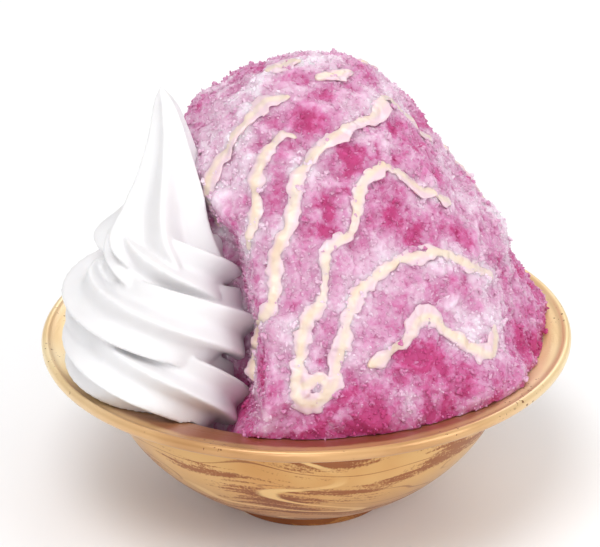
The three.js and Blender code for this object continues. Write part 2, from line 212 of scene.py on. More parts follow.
# Where the syrup soaked in most, where it pooled, and where the ice stayed pale.
DEEP_POOLS = (
    (35, 65, 11), (11, 52, 11), (47, 39, 9), (11, 9, 8), (31, 10, 10), (67, 7, 10),
    (4, 14, 5), (8, -1, 9),
)
SYRUP_POOLS = (
    (23, 62, 9), (38, 50, 9), (-3, 31, 6), (29, 26, 10), (-12, 73, 10), (20, 82, 9),
    (-2, -2, 9), (19, -2, 9), (32, -1, 8), (40, 3, 8), (-6, 55, 6), (63, 34, 7), (79, 78, 9),
    (112, 58, 10), (135, 34, 11), (160, 60, 10), (176, 22, 11), (205, 44, 11), (228, 62, 10),
    (240, 30, 11),
)
PALE_SPOTS = (
    (-31, 54, 14), (-50, 74, 12), (74, 41, 9), (-80, 69, 12), (-115, 74, 12), (28, 41, 9),
    (52, 26, 13), (57, 3, 10), (23, 3, 8), (60, 47, 9), (84, 27, 10), (0, 63, 7),
    (-13, 40, 8), (-6, 23, 8), (-8, 1, 7), (70, 72, 8), (44, 16, 10), (-30, 68, 9),
    (-29, 4, 6), (-50, 80, 9), (92, 52, 13), (98, 68, 12), (94, 31, 11), (60, 87, 9),
    (120, 84, 13), (110, 30, 12), (150, 45, 12), (190, 36, 12), (222, 50, 13), (255, 40, 15),
)

# How far the loose ice keeps from the bowl and from the skins of the swirl and the
# drizzle, less than nothing for the drizzle, whose rim it may stand in, and how many
# places are tried for it on each square of its spacing.
CLEARANCE = {"bowl": 0.2, "swirl": 0.4, "drizzle": -0.5}
CROWDING = 3.0

# The voxel that a skin is made with, and the rounds of smoothing after it.
SWIRL_SKIN = (0.62, 3)
DRIZZLE_SKIN = (0.42, 4)

# ---------------------------------------------------------------- camera and light sizes

CAMERA = {
    "aim": (-1.77, 0.0, 77.0),
    "above_level": 26.3,
    "away": 900.0,
    "roll": -0.73,
    "focal_length": 2797.6,       # in pixels of a picture PICTURE_WIDTH wide
    "sensor": 36.0,
}
PICTURE_WIDTH = 600
# In metres: place, the height on the axis that it shines at, side, and power.
SOFTBOXES = (
    ("key", (-0.35, -1.05, 2.25), 0.07, 1.1, 25.0),
    ("right", (1.50, -1.10, 1.00), 0.06, 1.0, 11.0),
    ("back", (0.50, 1.70, 1.50), 0.07, 1.0, 7.0),
    ("front", (-0.25, -2.00, 0.90), 0.06, 0.8, 9.0),
)
# The studio's own light, at the horizon and overhead.
SKY = {"level": 0.40, "overhead": 0.74}

# ---------------------------------------------------------------- shape helpers


def along(values, x):
    """A smooth curve through evenly spaced values, read at places x counted in values."""
    values = np.asarray(values, float)
    last = len(values) - 1
    i = np.clip(np.floor(x).astype(int), 0, last - 1)
    f = x - i
    a, b, c, d = (values[np.clip(i + k, 0, last)] for k in (-1, 0, 1, 2))
    return b + 0.5 * f * (c - a + f * (2 * a - 5 * b + 4 * c - d + f * (3 * (b - c) + d - a)))


def through_pairs(pairs, x):
    """A smooth curve through pairs (x, value) of any spacing."""
    places, values = np.array(pairs, float).T
    i = np.clip(np.searchsorted(places, x, side="left") - 1, 0, len(places) - 2)
    f = np.clip((x - places[i]) / (places[i + 1] - places[i]), 0, 1)
    return along(values, i + f)


def corner_values(cells, salt=0.0):
    """One random value between 0 and 1 for each whole-numbered corner."""
    wave = np.sin(cells @ np.array((127.1, 311.7, 74.7)) + salt) * 43758.5453
    return wave - np.floor(wave)


def soft_noise(points):
    """Smooth random values between 0 and 1, the same on every run."""
    cell = np.floor(points)
    part = points - cell
    ease = part * part * (3 - 2 * part)
    total = np.zeros(len(points))
    for corner in range(8):
        step = np.array((corner & 1, (corner >> 1) & 1, corner >> 2), float)
        share = np.prod(np.where(step > 0, ease, 1 - ease), axis=1)
        total += share * corner_values(cell + step)
    return total


def crumb_noise(points):
    """Rounded crumbs packed side by side: 1 on top of each, 0 in the joints."""
    cell = np.floor(points)
    nearest = np.full(len(points), 9.0)
    for i in range(27):
        step = np.array((i % 3, i // 3 % 3, i // 9), float) - 1
        there = cell + step
        middle = there + np.stack([corner_values(there, salt) for salt in (0.7, 2.9, 5.3)], axis=1)
        nearest = np.minimum(nearest, ((middle - points) ** 2).sum(axis=1))
    return np.clip(1 - nearest / 0.75, 0, 1)


def smooth_step(low, high, x):
    """0 up to low and 1 from high on, with a soft rise between them."""
    f = np.clip((x - low) / (high - low), 0, 1)
    return f * f * (3 - 2 * f)


def direction(right, elevation):
    """The unit vector to a place on the heap."""
    level = math.cos(math.radians(elevation))
    return np.array((
        level * math.sin(math.radians(right)),
        -level * math.cos(math.radians(right)),
        math.sin(math.radians(elevation)),
    ))


def in_scene(name, data):
    """A new object in the scene, for a mesh, a light or a camera."""
    made = bpy.data.objects.new(name, data)
    bpy.context.scene.collection.objects.link(made)
    return made


def mesh_object(name, points, faces):
    """A smooth mesh object from points in millimetres."""
    mesh = bpy.data.meshes.new(name)
    mesh.from_pydata([tuple(p) for p in np.asarray(points) * MM], [], faces)
    mesh.validate()
    mesh.shade_smooth()
    return in_scene(name, mesh)


def shell_object(name, shell):
    """A mesh object from a bmesh, which is freed."""
    mesh = bpy.data.meshes.new(name)
    shell.to_mesh(mesh)
    shell.free()
    return in_scene(name, mesh)


def points_of(piece):
    """A mesh object's points in millimetres."""
    flat = np.empty(len(piece.data.vertices) * 3)
    piece.data.vertices.foreach_get("co", flat)
    return flat.reshape(-1, 3) / MM


def move_points(piece, points):
    """Gives a mesh object's points new places, in millimetres."""
    piece.data.vertices.foreach_set("co", (points * MM).ravel())
    piece.data.update()


def normals_of(piece):
    """The direction outwards at each of a mesh object's points."""
    flat = np.empty(len(piece.data.vertices) * 3)
    piece.data.vertices.foreach_get("normal", flat)
    return flat.reshape(-1, 3)


def store(piece, name, values):
    """Keeps a value for each point, for the piece's material or its scattering."""
    layer = piece.data.attributes.new(name, "FLOAT", "POINT")
    layer.data.foreach_set("value", np.asarray(values, np.float32))


def face_outwards(piece):
    """Turns all faces of a closed mesh object outwards."""
    shell = bmesh.new()
    shell.from_mesh(piece.data)
    bmesh.ops.recalc_face_normals(shell, faces=shell.faces)
    shell.to_mesh(piece.data)
    shell.free()


def baked(piece, name):
    """The piece with its modifiers applied, as a plain mesh object in its place."""
    shown = piece.evaluated_get(bpy.context.evaluated_depsgraph_get())
    mesh = bpy.data.meshes.new_from_object(shown)
    mesh.name = name
    bpy.data.objects.remove(piece)
    return in_scene(name, mesh)


def skin_faces(rows, around):
    """The faces of a closed skin over rows of points, with an end point after them."""
    faces = []
    start = rows * around
    for j in range(around):
        ahead = (j + 1) % around
        for i in range(rows - 1):
            faces.append((
                i * around + j, i * around + ahead,
                (i + 1) * around + ahead, (i + 1) * around + j,
            ))
        faces.append((start, ahead, j))
        faces.append((start + 1, (rows - 1) * around + j, (rows - 1) * around + ahead))
    return faces


def closed_skin(name, rows, start, end):
    """A closed mesh object over rows of points, from a start point to an end point."""
    points = np.concatenate([rows.reshape(-1, 3), [start], [end]])
    return mesh_object(name, points, skin_faces(rows.shape[0], rows.shape[1]))


def one_skin(name, parts, voxel, rounds):
    """Closed parts that overlap, made into one smooth skin. The parts are removed."""
    whole = bmesh.new()
    for part in parts:
        face_outwards(part)
        whole.from_mesh(part.data)
        bpy.data.objects.remove(part)
    piece = shell_object(name + "_parts", whole)
    join = piece.modifiers.new("one skin", "REMESH")
    join.mode = "VOXEL"
    join.voxel_size = voxel * MM
    join.use_smooth_shade = True
    soften = piece.modifiers.new("soften", "SMOOTH")
    soften.iterations = rounds
    soften.factor = 0.5
    return baked(piece, name)


# ---------------------------------------------------------------- node helpers


class Nodes:
    """Adds nodes to a tree. An input is a value or another node's socket."""

    def __init__(self, tree):
        self.tree = tree

    def add(self, kind, inputs=None, **settings):
        """A node of a kind, with its inputs by name or number, and its settings."""
        node = self.tree.nodes.new(kind)
        for key, value in settings.items():
            setattr(node, key, value)
        for key, value in (inputs or {}).items():
            if isinstance(value, bpy.types.NodeSocket):
                self.tree.links.new(value, node.inputs[key])
            else:
                node.inputs[key].default_value = value
        return node

    def place(self):
        """The place on the piece, in metres."""
        return self.add("ShaderNodeTexCoord").outputs["Object"]

    def stored(self, name, output="Fac"):
        """A value that was stored for each point of the piece."""
        return self.add("ShaderNodeAttribute", attribute_name=name).outputs[output]

    def math(self, operation, a, b=0.0, clamp=False):
        node = self.add("ShaderNodeMath", {0: a, 1: b}, operation=operation, use_clamp=clamp)
        return node.outputs[0]

    def plus(self, a, b):
        return self.math("ADD", a, b)

    def times(self, a, b):
        return self.math("MULTIPLY", a, b)

    def swing(self, value, amount, middle=0.5):
        """How far a value lies from its middle, times an amount."""
        return self.times(self.math("SUBTRACT", value, middle), amount)

    def between(self, value, low, high, out_low=0.0, out_high=1.0):
        """A value moved smoothly from one range to another."""
        node = self.add("ShaderNodeMapRange", {
            "Value": value, "From Min": low, "From Max": high, "To Min": out_low, "To Max": out_high,
        }, interpolation_type="SMOOTHSTEP")
        return node.outputs["Result"]

    def mix(self, share, a, b):
        """A colour between a and b: 0 is a, and 1 is b."""
        return self.add("ShaderNodeMix", {0: share, 6: a, 7: b}, data_type="RGBA").outputs[2]

    def flakes(self, place, scale, salt):
        """Uneven cells packed side by side, each with one random value of its own."""
        sway = self.add("ShaderNodeTexNoise", {"Vector": place, "Scale": scale * 0.8, "Detail": 1.0})
        bent = self.add("ShaderNodeVectorMath", {
            0: sway.outputs["Color"], 1: (0.6 / scale,) * 3, 2: place,
        }, operation="MULTIPLY_ADD").outputs["Vector"]
        moved = self.add("ShaderNodeVectorMath", {0: bent, 1: (salt,) * 3}, operation="ADD")
        cells = self.add("ShaderNodeTexVoronoi", {"Vector": moved.outputs["Vector"], "Scale": scale})
        return self.add("ShaderNodeSeparateColor", {"Color": cells.outputs["Color"]}).outputs[0]

    def noise(self, place, scale, detail=3.0, rough=0.5):
        """Cloudy values around 0.5, with about "scale" clouds to a metre."""
        node = self.add("ShaderNodeTexNoise", {
            "Vector": place, "Scale": scale, "Detail": detail, "Roughness": rough,
        })
        return node.outputs["Fac"]

    def ramp(self, value, stops):
        """Colours along a value, as stops of (place, colour on a screen)."""
        node = self.add("ShaderNodeValToRGB", {"Fac": value})
        bar = node.color_ramp.elements
        while len(bar) < len(stops):
            bar.new(0.5)
        for stop, (place, shown) in zip(bar, stops):
            stop.position = place
            stop.color = colour(*shown)
        return node.outputs["Color"]

    def bump(self, height, strength, distance):
        """A normal tilted by a height, where "distance" is the height of 1 in metres."""
        return self.add("ShaderNodeBump", {
            "Height": height, "Strength": strength, "Distance": distance,
        }).outputs["Normal"]


def colour(red, green, blue):
    """A colour given as on a screen, from 0 to 255, for a socket that wants light."""
    def linear(v):
        v /= 255
        return v / 12.92 if v <= 0.04045 else ((v + 0.055) / 1.055) ** 2.4
    return (linear(red), linear(green), linear(blue), 1.0)


def new_material(name, **constants):
    """A material with a Principled shader. Returns it, its shader and its nodes."""
    material = bpy.data.materials.new(name)
    material.use_nodes = True
    shader = material.node_tree.nodes["Principled BSDF"]
    for key, value in constants.items():
        shader.inputs[key.replace("_", " ")].default_value = value
    return material, shader, Nodes(material.node_tree)


def feed(nodes, node, **sockets):
    """Links sockets to a node's inputs of the same names."""
    for key, socket in sockets.items():
        nodes.tree.links.new(socket, node.inputs[key.replace("_", " ")])


def new_group(name, inputs, outputs):
    """A shader node group with the given (name, kind, default) sockets."""
    group = bpy.data.node_groups.new(name, "ShaderNodeTree")
    for label, kind, default in inputs:
        socket = group.interface.new_socket(label, in_out="INPUT", socket_type=kind)
        if default is not None:
            socket.default_value = default
    for label, kind in outputs:
        group.interface.new_socket(label, in_out="OUTPUT", socket_type=kind)
    nodes = Nodes(group)
    return group, nodes, nodes.add("NodeGroupInput"), nodes.add("NodeGroupOutput")


# ---------------------------------------------------------------- bowl


def brim_height(r):
    """The brim's top face, at a distance from the axis."""
    return BOWL_HEIGHT - 1 - (BRIM["outer"] - r) * math.tan(math.radians(BRIM["slope"]))


def body_curve(inwards, steps):
    """The round body from the shoulder down to the foot, or the well parallel to it."""
    down, out = math.radians(BODY["steep"]), math.radians(BODY["flat"])
    top = np.array((SHOULDER["r"] - inwards, SHOULDER["z"]))
    end = np.array((FOOT["radius"] + 0.6 - inwards * 0.4, FOOT["high"] + inwards * 0.95))
    first = top - BODY["steep_reach"] * np.array((math.cos(down), math.sin(down)))
    second = end + BODY["flat_reach"] * np.array((math.cos(out), math.sin(out)))
    t = np.linspace(0, 1, steps + 1)[:, None]
    upper = (1 - t) ** 3 * top + 3 * t * (1 - t) ** 2 * first
    return upper + 3 * t * t * (1 - t) * second + t ** 3 * end


def rounded(corners, radius, steps=5):
    """A polyline with each inner corner turned into a short curve."""
    corners = [np.array(c, float) for c in corners]
    points = [corners[0]]
    for before, corner, after in zip(corners, corners[1:], corners[2:]):
        reach_in = min(radius, np.linalg.norm(before - corner) * 0.45)
        reach_out = min(radius, np.linalg.norm(after - corner) * 0.45)
        start = corner + (before - corner) / np.linalg.norm(before - corner) * reach_in
        end = corner + (after - corner) / np.linalg.norm(after - corner) * reach_out
        for t in np.linspace(0, 1, steps + 1):
            points.append((1 - t) ** 2 * start + 2 * t * (1 - t) * corner + t * t * end)
    points.append(corners[-1])
    return points


def bowl_profile():
    """Points (radius, height) from the middle of the underside, out and up, to the well."""
    foot_edge = FOOT["radius"] - FOOT["inset"]
    ring = foot_edge - FOOT["ring_width"]
    body = body_curve(0, 40)[::-1]
    foot = rounded([
        (0, FOOT["recess"]), (ring - 1.5, FOOT["recess"]), (ring, 0), (foot_edge, 0),
        (FOOT["radius"], 1.8), tuple(body[0]), tuple(body[2]),
    ], ROUNDING["foot"])
    flare = rounded([tuple(body[-2]), *FLARE], ROUNDING["flare"])
    turn = np.radians(np.linspace(-80, 140, 22))
    lip_middle = np.array((RIM_RADIUS - LIP["across"], BOWL_HEIGHT - LIP["high"]))
    lip = lip_middle + np.stack([LIP["across"] * np.cos(turn), LIP["high"] * np.sin(turn)], axis=1)
    well = body_curve(WALL, 24)
    inside = rounded([
        tuple(lip[-1]), (BRIM["outer"] + 0.9, brim_height(BRIM["outer"]) - 0.1),
        (BRIM["outer"] - 1.5, brim_height(BRIM["outer"] - 1.5)),
        (BRIM["inner"], brim_height(BRIM["inner"])), WELL_CORNER, tuple(well[0]), tuple(well[2]),
    ], ROUNDING["inside"])
    floor = [(well[-1][0] * share, well[-1][1] - 0.6 * (1 - share)) for share in (0.8, 0.5, 0.2, 0)]
    outside = foot[:-1] + list(body[3:-3]) + flare + list(lip)
    return np.array(outside + inside[1:-1] + list(well[3:]) + floor)


def make_bowl():
    """The bowl turned from its section, with the places that its glaze follows."""
    profile = bowl_profile()
    turn = np.linspace(0, 2 * np.pi, BOWL_SIDES, endpoint=False)
    ring = np.stack([np.cos(turn), np.sin(turn)], axis=1)
    inner = profile[1:-1]
    rows = np.concatenate([
        inner[:, None, :1] * ring[None], np.repeat(inner[:, None, 1:], BOWL_SIDES, axis=1),
    ], axis=2)
    bowl = closed_skin("bowl_glazed", rows, (0, 0, profile[0][1]), (0, 0, profile[-1][1]))
    face_outwards(bowl)
    length = np.concatenate([[0], np.cumsum(np.linalg.norm(np.diff(inner, axis=0), axis=1))])
    run = np.concatenate([np.repeat(length, BOWL_SIDES), [0, length[-1]]])
    points = points_of(bowl)
    level = np.maximum(np.hypot(points[:, 0], points[:, 1]), 1e-6)
    drum = points[:, :2] / level[:, None] * SWEEP_RADIUS
    sweep = np.concatenate([drum, run[:, None]], axis=1) * MM
    layer = bowl.data.attributes.new("sweep", "FLOAT_VECTOR", "POINT")
    layer.data.foreach_set("vector", sweep.astype(np.float32).ravel())
    rim = length[inner[:, 0].argmax()]
    store(bowl, "inside", smooth_step(rim + INSIDE_BEGINS[0], rim + INSIDE_BEGINS[1], run))
    # Painted shade in the grooves under and inside the lip, also the glaze breaking there.
    lines = sum(
        line["dark"] * np.exp(-((run - rim - line["at"]) / line["wide"]) ** 2) for line in LIP_LINES
    )
    store(bowl, "lines", np.clip(lines, 0, 1))
    return bowl


# What the food may fill: the floor that it lies on, from the axis out to the lip.
ROOM_FLOOR = np.concatenate([
    [(0, body_curve(WALL, 1)[-1][1] - 0.6)], body_curve(WALL, 30)[::-1], [WELL_CORNER],
    [(r, brim_height(r)) for r in (BRIM["inner"], BRIM["outer"] + 3)],
]) + np.array((0, GAP))


def floor_height(points):
    """The height of the bowl's inside, and the distance from the axis, at each point."""
    level = np.hypot(points[:, 0], points[:, 1])
    return np.interp(level, ROOM_FLOOR[:, 0], ROOM_FLOOR[:, 1]), level


def pull_into_bowl(points):
    """Points under the inside of the bowl are brought up onto it, by the nearest way."""
    floor, level = floor_height(points)
    under = points[:, 2] < floor
    corners = np.arange(len(ROOM_FLOOR))
    places = np.linspace(0, corners[-1], 400)
    line = np.stack([np.interp(places, corners, ROOM_FLOOR[:, k]) for k in (0, 1)], axis=1)
    moved = points.copy()
    for chunk in np.array_split(np.flatnonzero(under), 1 + under.sum() // 20000):
        flat = np.stack([level[chunk], points[chunk, 2]], axis=1)
        nearest = line[((flat[:, None] - line[None]) ** 2).sum(axis=2).argmin(axis=1)]
        shrink = nearest[:, 0] / np.maximum(level[chunk], 1e-6)
        moved[chunk, 0] *= shrink
        moved[chunk, 1] *= shrink
        moved[chunk, 2] = nearest[:, 1]
    return moved


def lie_on_floor(points, centre):
    """Points past the floor are drawn back to it, straight towards the centre."""
    near, far = np.zeros(len(points)), np.ones(len(points))
    for _ in range(30):
        middle = (near + far) / 2
        spots = centre + (points - centre) * middle[:, None]
        over = spots[:, 2] > floor_height(spots)[0]
        near, far = np.where(over, middle, near), np.where(over, far, middle)
    return centre + (points - centre) * near[:, None]


# ---------------------------------------------------------------- heap of ice


def heap_points(ways):
    """The heap's surface, with its lumps, in the given directions from its centre."""
    elevation = np.degrees(np.arcsin(np.clip(ways[:, 2], -1, 1)))
    level = np.maximum(1e-6, np.hypot(ways[:, 0], ways[:, 1]))
    east, north = ways[:, 0] / level, ways[:, 1] / level
    left = np.maximum(0, -east) ** 1.5 * level ** 2
    oval = 1 + HEAP["oval"] * (east ** 2 - north ** 2) * level ** 2
    bare = through_pairs(HEAP_PROFILE, elevation) * oval * (1 - HEAP["left_trim"] * left)
    reach = bare.copy()
    for size, high in CLUMPS:
        reach += high * (soft_noise(ways * bare[:, None] / size + (7, 3, 0)) - 0.5)
    points = HEAP_CENTRE + ways * reach[:, None]
    points[:, :2] += (HEAP_CROWN - HEAP_CENTRE[:2]) * np.maximum(0, ways[:, 2:])
    return points


def swirl_frame():
    """The swirl's own directions: up along its axis, and away from the front."""
    tilt = math.radians(SWIRL["tilt"])
    rise = np.array((0, math.sin(tilt), math.cos(tilt)))
    back = np.array((0, math.cos(tilt), -math.sin(tilt)))
    return rise, back


def in_niche(points):
    """Whether each point is in front of the swirl, where there is no ice."""
    rise, back = swirl_frame()
    slope = math.radians(NICHE["rise"])
    forward = np.array((0, -math.cos(slope), math.sin(slope)))
    away = points - np.array(SWIRL["base"])
    ahead = (away @ back) / (forward @ back)
    height = away @ rise - ahead * (forward @ rise)
    edge = np.interp(height, *np.array(NICHE_EDGE, float).T) + NICHE["ease"]
    edge = edge + ahead * math.tan(math.radians(NICHE["opens"]))
    return (ahead > 0) & (away[:, 0] < edge) & (away[:, 0] > NICHE["left"])


def stop_at_niche(points):
    """How far each point in the niche has to go towards the heap's centre, to its wall."""
    inward = HEAP_CENTRE - points
    length = np.linalg.norm(inward, axis=1)
    inward /= length[:, None]
    drawn = np.zeros(len(points))
    inside = in_niche(points)
    while inside.any():
        drawn[inside] += 0.5
        inside[inside] = in_niche(points[inside] + inward[inside] * drawn[inside, None])
        inside &= drawn < length - ICE_MESH["core"]
    return drawn, inward


def spread_out(values, edges, rounds):
    """Values at a mesh's corners, evened out with those of their neighbours."""
    a, b = edges.T
    count = np.bincount(a, minlength=len(values)) + np.bincount(b, minlength=len(values))
    for _ in range(rounds):
        total = np.bincount(a, values[b], len(values)) + np.bincount(b, values[a], len(values))
        values = 0.5 * values + 0.5 * total / count
    return values


def away_from(tree, points):
    """The distance from each point to the nearest place in a tree of places."""
    return np.array([tree.find(place)[2] for place in points])


def syrup_at(points, cream):
    """How much syrup the ice holds, from 0 to 1: pools, pale spots and uneven soaking, with the niche's
    wall made paler as painted light.
    """
    ways = points - HEAP_CENTRE
    length = np.linalg.norm(ways, axis=1)
    cloud_size, clouds = SOAKING["clouds"]
    patch_size, patches = SOAKING["patches"]
    syrup = SOAKING["usual"] + clouds * (soft_noise(points / cloud_size + (3, 9, 4)) - 0.5)
    syrup += patches * (soft_noise(points / patch_size + (8, 1, 2)) - 0.5)
    mottle = soft_noise(points / SOAKING["mottle"] + (6, 2, 8))
    mottled = 0.35 + 1.3 * smooth_step(0.3, 0.7, mottle)
    for spots, kind in ((DEEP_POOLS, "deep_pool"), (SYRUP_POOLS, "pool"), (PALE_SPOTS, "pale_spot")):
        for right, elevation, reach in spots:
            middle = heap_points(direction(right, elevation)[None])[0]
            away = np.linalg.norm(points - middle, axis=1)
            syrup += SOAKING[kind] * mottled * np.exp(-(away / reach) ** 2 * 1.6)
    above_lip = points[:, 2] - (BOWL_HEIGHT - 1)
    syrup += SOAKING["foot"] * np.exp(-np.maximum(above_lip, 0) / SOAKING["foot_high"])
    syrup += SOAKING["left"] * np.clip(-ways[:, 0] / SOAKING["left_wide"], 0, 1)
    whole = heap_points(ways / length[:, None]) - HEAP_CENTRE
    # Painted light: the ice drawn back into the niche's wall is made paler, against the shade there.
    syrup += SOAKING["niche"] * smooth_step(3, 14, np.linalg.norm(whole, axis=1) - length)
    wash = 1.8 + 4.0 * smooth_step(0.45, 0.75, soft_noise(points / 13 + (5, 5, 1)))
    beside = np.maximum(away_from(cream, points) - 1.5, 0)
    syrup += SOAKING["beside_cream"] * np.exp(-beside / wash)
    middle = SOAKING["middle"]
    return np.clip(middle + SOAKING["contrast"] * (syrup - middle), 0, 1)


def split_long_edges(piece, longest, lowest):
    """More corners on a piece's long edges, such as those of the niche's wall."""
    fine = bmesh.new()
    fine.from_mesh(piece.data)
    for _ in range(2):
        long = [
            e for e in fine.edges
            if e.calc_length() > longest * MM and min(v.co.z for v in e.verts) > lowest * MM
        ]
        bmesh.ops.subdivide_edges(fine, edges=long, cuts=1)
        bmesh.ops.triangulate(fine, faces=[f for f in fine.faces if len(f.verts) > 3])
    fine.to_mesh(piece.data)
    fine.free()
    piece.data.shade_smooth()


def make_ball():
    """A ball of radius 1, fine down to where the heap meets the bowl, with rows below."""
    ball = bmesh.new()
    bmesh.ops.create_icosphere(ball, subdivisions=ICE_MESH["fineness"], radius=1)
    low = [f for f in ball.faces if f.calc_center_median().z < ICE_MESH["ball_ends"]]
    bmesh.ops.delete(ball, geom=low, context="FACES")
    edge = [tuple(e.verts) for e in ball.edges if e.is_boundary]
    for elevation in ICE_MESH["rows_below"]:
        level = math.cos(math.radians(elevation))
        height = math.sin(math.radians(elevation))
        below = {}
        for corner in dict.fromkeys(corner for pair in edge for corner in pair):
            bearing = math.atan2(corner.co.y, corner.co.x)
            place = (level * math.cos(bearing), level * math.sin(bearing), height)
            below[corner] = ball.verts.new(place)
        for a, b in edge:
            ball.faces.new((a, b, below[b], below[a]))
        edge = [(below[a], below[b]) for a, b in edge]
    lowest = ball.verts.new((0, 0, -1))
    for a, b in edge:
        ball.faces.new((a, b, lowest))
    return shell_object("ice_heap", ball)


def make_ice():
    """The body of the heap: lumps, crumbs on the lumps, and a foot that fills the well."""
    ice = make_ball()
    ice.data.shade_smooth()
    face_outwards(ice)
    ways = points_of(ice) * MM
    ways /= np.linalg.norm(ways, axis=1)[:, None]
    points = heap_points(ways)
    drawn, inward = stop_at_niche(points)
    edges = np.empty(len(ice.data.edges) * 2, int)
    ice.data.edges.foreach_get("vertices", edges)
    drawn = spread_out(drawn, edges.reshape(-1, 2), ICE_MESH["niche_rounding"])
    move_points(ice, points + inward * drawn[:, None])
    split_long_edges(ice, ICE_MESH["longest_edge"], ICE_MESH["shows_from"])

    points = points_of(ice)
    outwards = normals_of(ice)
    above = smooth_step(ICE_MESH["shows_from"], ICE_MESH["shows_from"] + 6, points[:, 2])
    size, high = TUFTS
    tufts = 1 - np.abs(2 * soft_noise(points / size + (4, 2, 9)) - 1)
    relief = high * (tufts - 0.55)
    depth = 0.6 * (1 - tufts)
    for size, high in CRUMBS:
        sway = [soft_noise(points / size * 0.6 + (k * 5, 5, 3)) - 0.5 for k in range(3)]
        crumbs = crumb_noise(points / size + np.stack(sway, axis=1) * 1.3)
        lift = soft_noise(points / (size * 2.3) + (1, 6, 8))
        relief += high * ((0.3 + 1.2 * lift) * crumbs - 0.4)
        depth += 0.5 * (1 - crumbs) * (1 - lift)
    points = points + outwards * (relief * above)[:, None]
    away = points - HEAP_CENTRE
    foot = away[:, 2] < -math.sin(math.radians(ICE_MESH["foot"])) * np.linalg.norm(away, axis=1)
    points[foot] = lie_on_floor(points[foot], HEAP_CENTRE)
    points[~foot] = pull_into_bowl(points[~foot])
    move_points(ice, points)
    store(ice, "depth", np.clip(depth, 0, 1))
    return ice


# ---------------------------------------------------------------- soft-serve swirl


def swirl_points(bearing, reach, height, lean=0.0):
    """Places on the swirl. Bearings count half circles from the right, by the front."""
    rise, back = swirl_frame()
    bearing, reach, height, lean = (
        np.asarray(v, float)[..., None] for v in np.broadcast_arrays(bearing, reach, height, lean)
    )
    right = (reach * np.cos(bearing * np.pi) + lean) * np.array((1, 0, 0))
    return np.array(SWIRL["base"]) + height * rise + right - reach * np.sin(bearing * np.pi) * back


def ridges(degrees, depth):
    """The star nozzle's section: narrow crests with broad hollows between them."""
    hollow = np.sqrt(np.cos(np.radians(SWIRL["lobes"] * degrees / 2)) ** 2 + SWIRL["crest_round"])
    return SWIRL["fullness"] - depth * hollow


def rope_part(start, end):
    """A part of the rope, short enough not to meet itself."""
    around = 96
    bearing = np.linspace(start, end, 80)
    place = (bearing - ROPE_START) / ROPE_STEP
    height, coil, thick, turn = (along(ROPE[key], place) for key in ("height", "coil", "thick", "turn"))
    on_rope = np.arange(around) * 360 / around
    r = thick[:, None] * ridges(on_rope, SWIRL["groove"])[None]
    angle = np.radians(turn[:, None] + on_rope[None] + SWIRL["section_turn"])
    reach = np.maximum(0.6, coil[:, None] + r * np.cos(angle))
    rows = swirl_points(bearing[:, None], reach, height[:, None] + r * np.sin(angle))
    middles = swirl_points(bearing, coil, height)
    return closed_skin("rope", rows, middles[0], middles[-1])


def make_peak():
    """The peak that was pulled off the coil, with its ridges twisting round it."""
    around = 192
    last = len(PEAK["height"]) - 1
    place = np.linspace(0, last, 180)[1:-1]
    height, radius, lean = (along(PEAK[key], place)[:, None] for key in ("height", "radius", "lean"))
    skirt = PEAK_SKIRT["drop"] * smooth_step(PEAK_SKIRT["from"], PEAK_SKIRT["to"], height)
    below = np.clip((PEAK_TWIST["top"] - height) / PEAK_TWIST["length"], 0, 2)
    twist = PEAK_TWIST["first"] + PEAK_TWIST["degrees"] * below ** PEAK_TWIST["power"]
    on_peak = np.arange(around)[None] * 360 / around
    bearing = (90 - on_peak - twist) / 180
    reach = np.maximum(0.3, radius) * ridges(on_peak, SWIRL["peak_groove"])
    rows = swirl_points(bearing, reach, height - skirt * np.cos(bearing * np.pi), lean)
    foot = swirl_points(0, 0, PEAK["height"][0])
    tip = swirl_points(0, 0, PEAK["height"][-1], PEAK["lean"][-1])
    return closed_skin("peak", rows, foot, tip)


def make_filling():
    """What stands in the middle of the coil."""
    ends = (SWIRL["core_from"], SWIRL["core_to"])
    bearing = np.arange(48) / 24
    rows = np.stack([swirl_points(bearing, SWIRL["core_radius"], h) for h in ends])
    return closed_skin("filling", rows, *(swirl_points(0, 0, h) for h in ends))


def make_swirl():
    """The whole swirl as one skin: peak, filling and rope."""
    parts = [make_peak(), make_filling()]
    end = ROPE_START + ROPE_STEP * (len(ROPE["height"]) - 1)
    start = ROPE_START
    while start < end - 0.01:
        parts.append(rope_part(start, min(start + ROPE_PART, end)))
        start += 1
    swirl = one_skin("soft_serve_swirl", parts, *SWIRL_SKIN)
    move_points(swirl, pull_into_bowl(points_of(swirl)))
    return swirl


# ---------------------------------------------------------------- drizzle


def drizzle_route(run):
    """Evenly spaced directions along a run, with the corners rounded."""
    ways = np.array([direction(*place) for place in run])
    ways = np.concatenate([[2 * ways[0] - ways[1]], ways, [2 * ways[-1] - ways[-2]]])
    fine = np.arange(1, len(ways) - 2 + 1e-6, 0.05)
    curve = np.stack([along(ways[:, k], fine) for k in range(3)], axis=1)
    curve /= np.linalg.norm(curve, axis=1)[:, None]
    surface = heap_points(curve)
    length = np.concatenate([[0], np.cumsum(np.linalg.norm(np.diff(surface, axis=0), axis=1))])
    steps = max(4, int(length[-1] / DRIZZLE["step"]))
    even = np.linspace(0, length[-1], steps)
    route = np.stack([np.interp(even, length, curve[:, k]) for k in range(3)], axis=1)
    return route / np.linalg.norm(route, axis=1)[:, None], even


def outside_of(skin, place):
    """How far a place lies outside a closed skin, in millimetres."""
    spot = Vector(place * MM)
    nearest, normal, _, away = skin.find_nearest(spot)
    return math.copysign(away, (spot - nearest).dot(normal)) / MM


